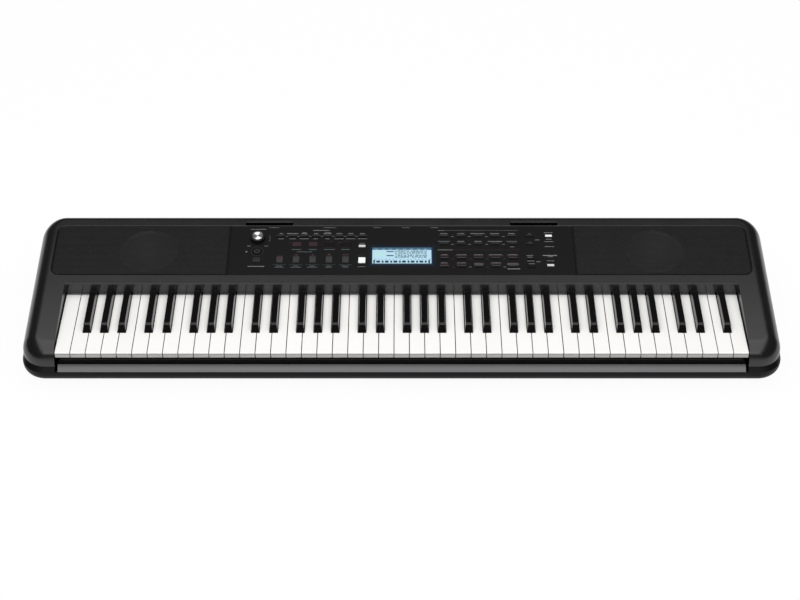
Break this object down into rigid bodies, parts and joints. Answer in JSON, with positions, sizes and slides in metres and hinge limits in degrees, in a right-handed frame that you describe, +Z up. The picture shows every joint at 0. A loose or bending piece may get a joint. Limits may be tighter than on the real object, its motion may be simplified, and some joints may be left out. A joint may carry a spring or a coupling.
{
  "type": "portable keyboard",
  "caption": "Portable electronic keyboard with hinged piano keys, a sloping deck with two speaker grilles, a control panel with a display, a turning volume knob and press buttons.",
  "frame": {"origin": "on the table under the middle of the case, at the feet's soles", "axes": "+X along the keys towards the high notes, +Y away from the player, +Z up"},
  "size_m": [1.1678, 0.308, 0.1004],
  "materials": {
    "case_plastic": "fine-textured dark grey ABS",
    "lower_plastic": "fine-textured near-black ABS",
    "slip_plastic": "satin dark grey ABS",
    "grille_mesh": "finely perforated sheet, matt black paint",
    "panel_plastic": "smooth black plate, printed",
    "window_plastic": "clear pane over a lit display",
    "display_glass": "backlit liquid-crystal display",
    "white_key": "satin white key plastic",
    "black_key": "matt black key plastic",
    "chassis_plastic": "plain moulded plastic",
    "felt": "black pressed wool felt",
    "circuit_board": "solder-masked laminate",
    "knob_plastic": "spun black gloss",
    "pot_metal": "plated steel",
    "dark_button": "satin black",
    "grey_button": "translucent grey rubber",
    "white_button": "satin white",
    "basket_steel": "pressed steel",
    "cone_paper": "black pulp paper",
    "socket_plastic": "black nylon",
    "foot_rubber": "black rubber"
  },
  "bodies": {
    "instrument": {"control_panel": "panel_plastic", "dc_inlet": "socket_plastic", "display_module": "display_glass", "display_window": "window_plastic", "foot_front_left": "foot_rubber", "foot_front_right": "foot_rubber", "foot_rear_left": "foot_rubber", "foot_rear_right": "foot_rubber", "key_chassis": "chassis_plastic", "key_contact_board": "circuit_board", "key_felt": "felt", "key_slip": "slip_plastic", "lower_case": "lower_plastic", "main_board": "circuit_board", "panel_board": "circuit_board", "pedal_jack": "socket_plastic", "phones_jack": "socket_plastic", "speaker_cone_left": "cone_paper", "speaker_cone_right": "cone_paper", "speaker_frame_left": "basket_steel", "speaker_frame_right": "basket_steel", "speaker_grille_left": "grille_mesh", "speaker_grille_right": "grille_mesh", "upper_case": "case_plastic", "volume_potentiometer": "pot_metal"},
    "white_keys_dfa_1": {"white_keys_dfa_1": "white_key"},
    "white_keys_cegb_1": {"white_keys_cegb_1": "white_key"},
    "black_keys_1": {"black_keys_1": "black_key"},
    "white_keys_dfa_2": {"white_keys_dfa_2": "white_key"},
    "white_keys_cegb_2": {"white_keys_cegb_2": "white_key"},
    "black_keys_2": {"black_keys_2": "black_key"},
    "white_keys_dfa_3": {"white_keys_dfa_3": "white_key"},
    "white_keys_cegb_3": {"white_keys_cegb_3": "white_key"},
    "black_keys_3": {"black_keys_3": "black_key"},
    "white_keys_dfa_4": {"white_keys_dfa_4": "white_key"},
    "white_keys_cegb_4": {"white_keys_cegb_4": "white_key"},
    "black_keys_4": {"black_keys_4": "black_key"},
    "white_keys_dfa_5": {"white_keys_dfa_5": "white_key"},
    "white_keys_cegb_5": {"white_keys_cegb_5": "white_key"},
    "black_keys_5": {"black_keys_5": "black_key"},
    "white_keys_dfa_6": {"white_keys_dfa_6": "white_key"},
    "white_keys_cegb_6": {"white_keys_cegb_6": "white_key"},
    "black_keys_6": {"black_keys_6": "black_key"},
    "white_keys_dfa_7": {"white_keys_dfa_7": "white_key"},
    "white_keys_cegb_7": {"white_keys_cegb_7": "white_key"},
    "black_keys_7": {"black_keys_7": "black_key"},
    "mode_buttons": {"mode_buttons": "dark_button"},
    "icon_buttons": {"icon_buttons": "grey_button"},
    "transport_buttons": {"transport_buttons": "grey_button"},
    "tempo_button": {"tempo_button": "white_button"},
    "start_button": {"start_button": "white_button"},
    "voice_buttons": {"voice_buttons": "dark_button"},
    "rhythm_buttons": {"rhythm_buttons": "dark_button"},
    "step_buttons": {"step_buttons": "dark_button"},
    "upper_white_button": {"upper_white_button": "white_button"},
    "lower_white_button": {"lower_white_button": "white_button"},
    "power_button": {"power_button": "dark_button"},
    "square_button": {"square_button": "grey_button"},
    "volume_knob": {"volume_knob": "knob_plastic"},
    "battery_cover": {"battery_cover": "lower_plastic"}
  },
  "joints": [
    {"name": "white_keys_dfa_1_press", "type": "hinge", "parent": "instrument", "child": "white_keys_dfa_1", "pos_m": [0, 0.03148, 0.04275], "axis": [1, 0, 0], "range_deg": [0, 3.3], "stiffness_Nm_per_rad": 0.8, "springref_deg": -10.31},
    {"name": "white_keys_cegb_1_press", "type": "hinge", "parent": "instrument", "child": "white_keys_cegb_1", "pos_m": [0, 0.03148, 0.04675], "axis": [1, 0, 0], "range_deg": [0, 3.3], "stiffness_Nm_per_rad": 0.8, "springref_deg": -10.31},
    {"name": "black_keys_1_press", "type": "hinge", "parent": "instrument", "child": "black_keys_1", "pos_m": [0, 0.03148, 0.05075], "axis": [1, 0, 0], "range_deg": [0, 3.3], "stiffness_Nm_per_rad": 0.8, "springref_deg": -10.31},
    {"name": "white_keys_dfa_2_press", "type": "hinge", "parent": "instrument", "child": "white_keys_dfa_2", "pos_m": [0, 0.03148, 0.04275], "axis": [1, 0, 0], "range_deg": [0, 3.3], "stiffness_Nm_per_rad": 0.8, "springref_deg": -10.31},
    {"name": "white_keys_cegb_2_press", "type": "hinge", "parent": "instrument", "child": "white_keys_cegb_2", "pos_m": [0, 0.03148, 0.04675], "axis": [1, 0, 0], "range_deg": [0, 3.3], "stiffness_Nm_per_rad": 0.8, "springref_deg": -10.31},
    {"name": "black_keys_2_press", "type": "hinge", "parent": "instrument", "child": "black_keys_2", "pos_m": [0, 0.03148, 0.05075], "axis": [1, 0, 0], "range_deg": [0, 3.3], "stiffness_Nm_per_rad": 0.8, "springref_deg": -10.31},
    {"name": "white_keys_dfa_3_press", "type": "hinge", "parent": "instrument", "child": "white_keys_dfa_3", "pos_m": [0, 0.03148, 0.04275], "axis": [1, 0, 0], "range_deg": [0, 3.3], "stiffness_Nm_per_rad": 0.8, "springref_deg": -10.31},
    {"name": "white_keys_cegb_3_press", "type": "hinge", "parent": "instrument", "child": "white_keys_cegb_3", "pos_m": [0, 0.03148, 0.04675], "axis": [1, 0, 0], "range_deg": [0, 3.3], "stiffness_Nm_per_rad": 0.8, "springref_deg": -10.31},
    {"name": "black_keys_3_press", "type": "hinge", "parent": "instrument", "child": "black_keys_3", "pos_m": [0, 0.03148, 0.05075], "axis": [1, 0, 0], "range_deg": [0, 3.3], "stiffness_Nm_per_rad": 0.8, "springref_deg": -10.31},
    {"name": "white_keys_dfa_4_press", "type": "hinge", "parent": "instrument", "child": "white_keys_dfa_4", "pos_m": [0, 0.03148, 0.04275], "axis": [1, 0, 0], "range_deg": [0, 3.3], "stiffness_Nm_per_rad": 0.8, "springref_deg": -10.31},
    {"name": "white_keys_cegb_4_press", "type": "hinge", "parent": "instrument", "child": "white_keys_cegb_4", "pos_m": [0, 0.03148, 0.04675], "axis": [1, 0, 0], "range_deg": [0, 3.3], "stiffness_Nm_per_rad": 0.8, "springref_deg": -10.31},
    {"name": "black_keys_4_press", "type": "hinge", "parent": "instrument", "child": "black_keys_4", "pos_m": [0, 0.03148, 0.05075], "axis": [1, 0, 0], "range_deg": [0, 3.3], "stiffness_Nm_per_rad": 0.8, "springref_deg": -10.31},
    {"name": "white_keys_dfa_5_press", "type": "hinge", "parent": "instrument", "child": "white_keys_dfa_5", "pos_m": [0, 0.03148, 0.04275], "axis": [1, 0, 0], "range_deg": [0, 3.3], "stiffness_Nm_per_rad": 0.8, "springref_deg": -10.31},
    {"name": "white_keys_cegb_5_press", "type": "hinge", "parent": "instrument", "child": "white_keys_cegb_5", "pos_m": [0, 0.03148, 0.04675], "axis": [1, 0, 0], "range_deg": [0, 3.3], "stiffness_Nm_per_rad": 0.8, "springref_deg": -10.31},
    {"name": "black_keys_5_press", "type": "hinge", "parent": "instrument", "child": "black_keys_5", "pos_m": [0, 0.03148, 0.05075], "axis": [1, 0, 0], "range_deg": [0, 3.3], "stiffness_Nm_per_rad": 0.8, "springref_deg": -10.31},
    {"name": "white_keys_dfa_6_press", "type": "hinge", "parent": "instrument", "child": "white_keys_dfa_6", "pos_m": [0, 0.03148, 0.04275], "axis": [1, 0, 0], "range_deg": [0, 3.3], "stiffness_Nm_per_rad": 0.8, "springref_deg": -10.31},
    {"name": "white_keys_cegb_6_press", "type": "hinge", "parent": "instrument", "child": "white_keys_cegb_6", "pos_m": [0, 0.03148, 0.04675], "axis": [1, 0, 0], "range_deg": [0, 3.3], "stiffness_Nm_per_rad": 0.8, "springref_deg": -10.31},
    {"name": "black_keys_6_press", "type": "hinge", "parent": "instrument", "child": "black_keys_6", "pos_m": [0, 0.03148, 0.05075], "axis": [1, 0, 0], "range_deg": [0, 3.3], "stiffness_Nm_per_rad": 0.8, "springref_deg": -10.31},
    {"name": "white_keys_dfa_7_press", "type": "hinge", "parent": "instrument", "child": "white_keys_dfa_7", "pos_m": [0, 0.03148, 0.04275], "axis": [1, 0, 0], "range_deg": [0, 3.3], "stiffness_Nm_per_rad": 0.8, "springref_deg": -10.31},
    {"name": "white_keys_cegb_7_press", "type": "hinge", "parent": "instrument", "child": "white_keys_cegb_7", "pos_m": [0, 0.03148, 0.04675], "axis": [1, 0, 0], "range_deg": [0, 3.3], "stiffness_Nm_per_rad": 0.8, "springref_deg": -10.31},
    {"name": "black_keys_7_press", "type": "hinge", "parent": "instrument", "child": "black_keys_7", "pos_m": [0, 0.03148, 0.05075], "axis": [1, 0, 0], "range_deg": [0, 3.3], "stiffness_Nm_per_rad": 0.8, "springref_deg": -10.31},
    {"name": "mode_buttons_press", "type": "slide", "parent": "instrument", "child": "mode_buttons", "axis": [0, 0.1153, -0.9933], "range_m": [0, 0.001], "stiffness_N_per_m": 400, "springref_m": -0.002},
    {"name": "icon_buttons_press", "type": "slide", "parent": "instrument", "child": "icon_buttons", "axis": [0, 0.1153, -0.9933], "range_m": [0, 0.001], "stiffness_N_per_m": 400, "springref_m": -0.002},
    {"name": "transport_buttons_press", "type": "slide", "parent": "instrument", "child": "transport_buttons", "axis": [0, 0.1153, -0.9933], "range_m": [0, 0.001], "stiffness_N_per_m": 400, "springref_m": -0.002},
    {"name": "tempo_button_press", "type": "slide", "parent": "instrument", "child": "tempo_button", "axis": [0, 0.1153, -0.9933], "range_m": [0, 0.001], "stiffness_N_per_m": 400, "springref_m": -0.002},
    {"name": "start_button_press", "type": "slide", "parent": "instrument", "child": "start_button", "axis": [0, 0.1153, -0.9933], "range_m": [0, 0.001], "stiffness_N_per_m": 400, "springref_m": -0.002},
    {"name": "voice_buttons_press", "type": "slide", "parent": "instrument", "child": "voice_buttons", "axis": [0, 0.1153, -0.9933], "range_m": [0, 0.001], "stiffness_N_per_m": 400, "springref_m": -0.002},
    {"name": "rhythm_buttons_press", "type": "slide", "parent": "instrument", "child": "rhythm_buttons", "axis": [0, 0.1153, -0.9933], "range_m": [0, 0.001], "stiffness_N_per_m": 400, "springref_m": -0.002},
    {"name": "step_buttons_press", "type": "slide", "parent": "instrument", "child": "step_buttons", "axis": [0, 0.1153, -0.9933], "range_m": [0, 0.001], "stiffness_N_per_m": 400, "springref_m": -0.002},
    {"name": "upper_white_button_press", "type": "slide", "parent": "instrument", "child": "upper_white_button", "axis": [0, 0.1153, -0.9933], "range_m": [0, 0.001], "stiffness_N_per_m": 400, "springref_m": -0.002},
    {"name": "lower_white_button_press", "type": "slide", "parent": "instrument", "child": "lower_white_button", "axis": [0, 0.1153, -0.9933], "range_m": [0, 0.001], "stiffness_N_per_m": 400, "springref_m": -0.002},
    {"name": "power_button_press", "type": "slide", "parent": "instrument", "child": "power_button", "axis": [0, 0.1153, -0.9933], "range_m": [0, 0.001], "stiffness_N_per_m": 400, "springref_m": -0.002},
    {"name": "square_button_press", "type": "slide", "parent": "instrument", "child": "square_button", "axis": [0, 0.1153, -0.9933], "range_m": [0, 0.001], "stiffness_N_per_m": 400, "springref_m": -0.002},
    {"name": "volume_turn", "type": "hinge", "parent": "instrument", "child": "volume_knob", "pos_m": [-0.231, 0.09641, 0.0921], "axis": [0, -0.1153, 0.9933], "range_deg": [-140, 140]},
    {"name": "battery_cover_slide", "type": "slide", "parent": "instrument", "child": "battery_cover", "axis": [0, -1, 0], "range_m": [0, 0.012]}
  ]
}
